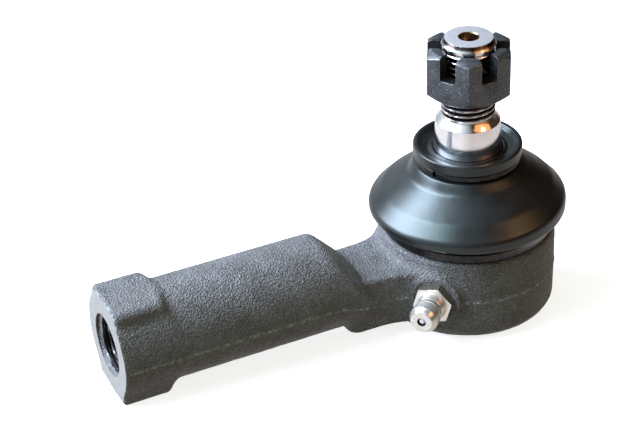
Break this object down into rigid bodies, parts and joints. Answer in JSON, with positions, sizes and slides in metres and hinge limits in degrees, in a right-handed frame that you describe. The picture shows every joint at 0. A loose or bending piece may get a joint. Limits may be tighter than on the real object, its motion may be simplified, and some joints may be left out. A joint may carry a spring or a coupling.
{
  "type": "tie rod end",
  "caption": "Forged tie rod end: a threaded socket shank with a ball stud, castle nut, rubber dust boot and grease fitting.",
  "frame": {"origin": "centre of the wrench end's face, on the axis of the shank's thread", "axes": "+X along the shank towards the socket, +Z along the stud towards its nut, Y across"},
  "size_m": [0.1085, 0.044, 0.065],
  "materials": {
    "forged_steel": "shot-blasted forging with a dark phosphate coat, pebbled and satin",
    "bearing_plastic": "moulded acetal",
    "spring_steel": "bare spring steel",
    "cover_steel": "pressed steel with a dark phosphate coat",
    "polished_steel": "ground and polished steel",
    "phosphated_nut": "dark grey phosphate, lighter on its worn edges",
    "boot_rubber": "moulded black rubber, satin",
    "ring_steel": "oiled steel band",
    "plated_steel": "bright zinc plate"
  },
  "bodies": {
    "socket": {"housing": "forged_steel", "upper_seat": "bearing_plastic", "lower_seat": "bearing_plastic", "preload_spring": "spring_steel", "end_cover": "cover_steel", "boot_base_ring": "ring_steel", "grease_fitting": "plated_steel", "check_spring": "spring_steel", "spring_washer": "plated_steel"},
    "boot": {"dust_boot": "boot_rubber"},
    "boot_collar": {"boot_neck_ring": "ring_steel"},
    "stud": {"ball_stud": "polished_steel"},
    "nut": {"castle_nut": "phosphated_nut"},
    "valve_ball": {"check_ball": "spring_steel"}
  },
  "joints": [
    {"name": "swing_direction", "type": "hinge", "parent": "socket", "child": "boot", "pos_m": [0.0865, 0, -0.0016], "axis": [0, 0, 1], "continuous": true},
    {"name": "stud_swing", "type": "hinge", "parent": "boot", "child": "boot_collar", "pos_m": [0.0865, 0, -0.0016], "axis": [0, 1, 0], "range_deg": [-25, 25], "deforming": ["dust_boot"]},
    {"name": "stud_spin", "type": "hinge", "parent": "boot_collar", "child": "stud", "pos_m": [0.0865, 0, -0.0016], "axis": [0, 0, 1], "continuous": true},
    {"name": "nut_travel", "type": "slide", "parent": "stud", "child": "nut", "axis": [0, 0, 1], "range_m": [-0.003, 0.016]},
    {"name": "check_ball_lift", "type": "slide", "parent": "socket", "child": "valve_ball", "axis": [0.7547, 0.6561, 0], "range_m": [0, 0.0008], "stiffness_N_per_m": 5, "springref_m": -0.0005, "deforming": ["check_spring"]}
  ]
}
